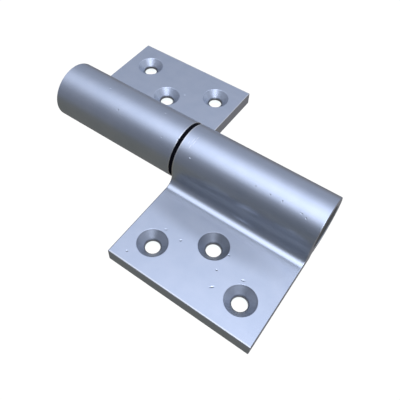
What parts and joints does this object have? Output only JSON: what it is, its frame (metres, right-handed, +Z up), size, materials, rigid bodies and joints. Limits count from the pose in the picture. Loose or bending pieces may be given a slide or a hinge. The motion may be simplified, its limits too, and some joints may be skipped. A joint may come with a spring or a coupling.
{
  "type": "self-closing hinge",
  "caption": "Self-closing flag hinge: extruded leaves with round knuckles on a sprung shaft, drilled and countersunk for surface fixing.",
  "frame": {"origin": "centre of the footprint, on the plane of the leaves' back faces, midway between the knuckles under the hinge axis", "axes": "+X along the hinge axis to the door leaf's knuckle, +Y to the frame leaf's outer edge, +Z up from the back faces, with the hinge closed and lying on its back"},
  "size_m": [0.11, 0.092, 0.023],
  "materials": {
    "anodised_aluminium": "satin silver anodised, faint extrusion lines",
    "black_nylon": "matt black",
    "natural_nylon": "matt, natural white",
    "bright_steel": "ground",
    "plated_steel": "zinc plated",
    "black_steel": "blackened",
    "spring_steel": "oiled rolled strip",
    "bronze": "dull bronze",
    "grey_plastic": "fine matt texture"
  },
  "bodies": {
    "frame": {"frame_leaf": "anodised_aluminium", "frame_bush": "natural_nylon", "anchor_plug": "plated_steel", "anchor_screws": "black_steel", "anchor_washer": "plated_steel", "shaft_clip": "black_steel", "frame_end_cap": "grey_plastic", "pivot_shaft": "bright_steel", "knuckle_washer": "black_nylon", "thrust_washer": "bronze", "spring_hub": "plated_steel", "hub_pin": "bright_steel"},
    "door": {"door_leaf": "anodised_aluminium", "door_bush": "natural_nylon", "torsion_spring": "spring_steel", "tension_plug": "plated_steel", "lock_screw": "black_steel", "adjuster_washer": "plated_steel", "adjuster_ring": "black_steel", "door_end_cap": "grey_plastic"}
  },
  "joints": [
    {"name": "door_swing", "type": "hinge", "parent": "frame", "child": "door", "pos_m": [0, 0, 0.012], "axis": [-1, 0, 0], "range_deg": [0, 180], "stiffness_Nm_per_rad": 0.23, "springref_deg": -40.11, "deforming": ["torsion_spring"]}
  ]
}
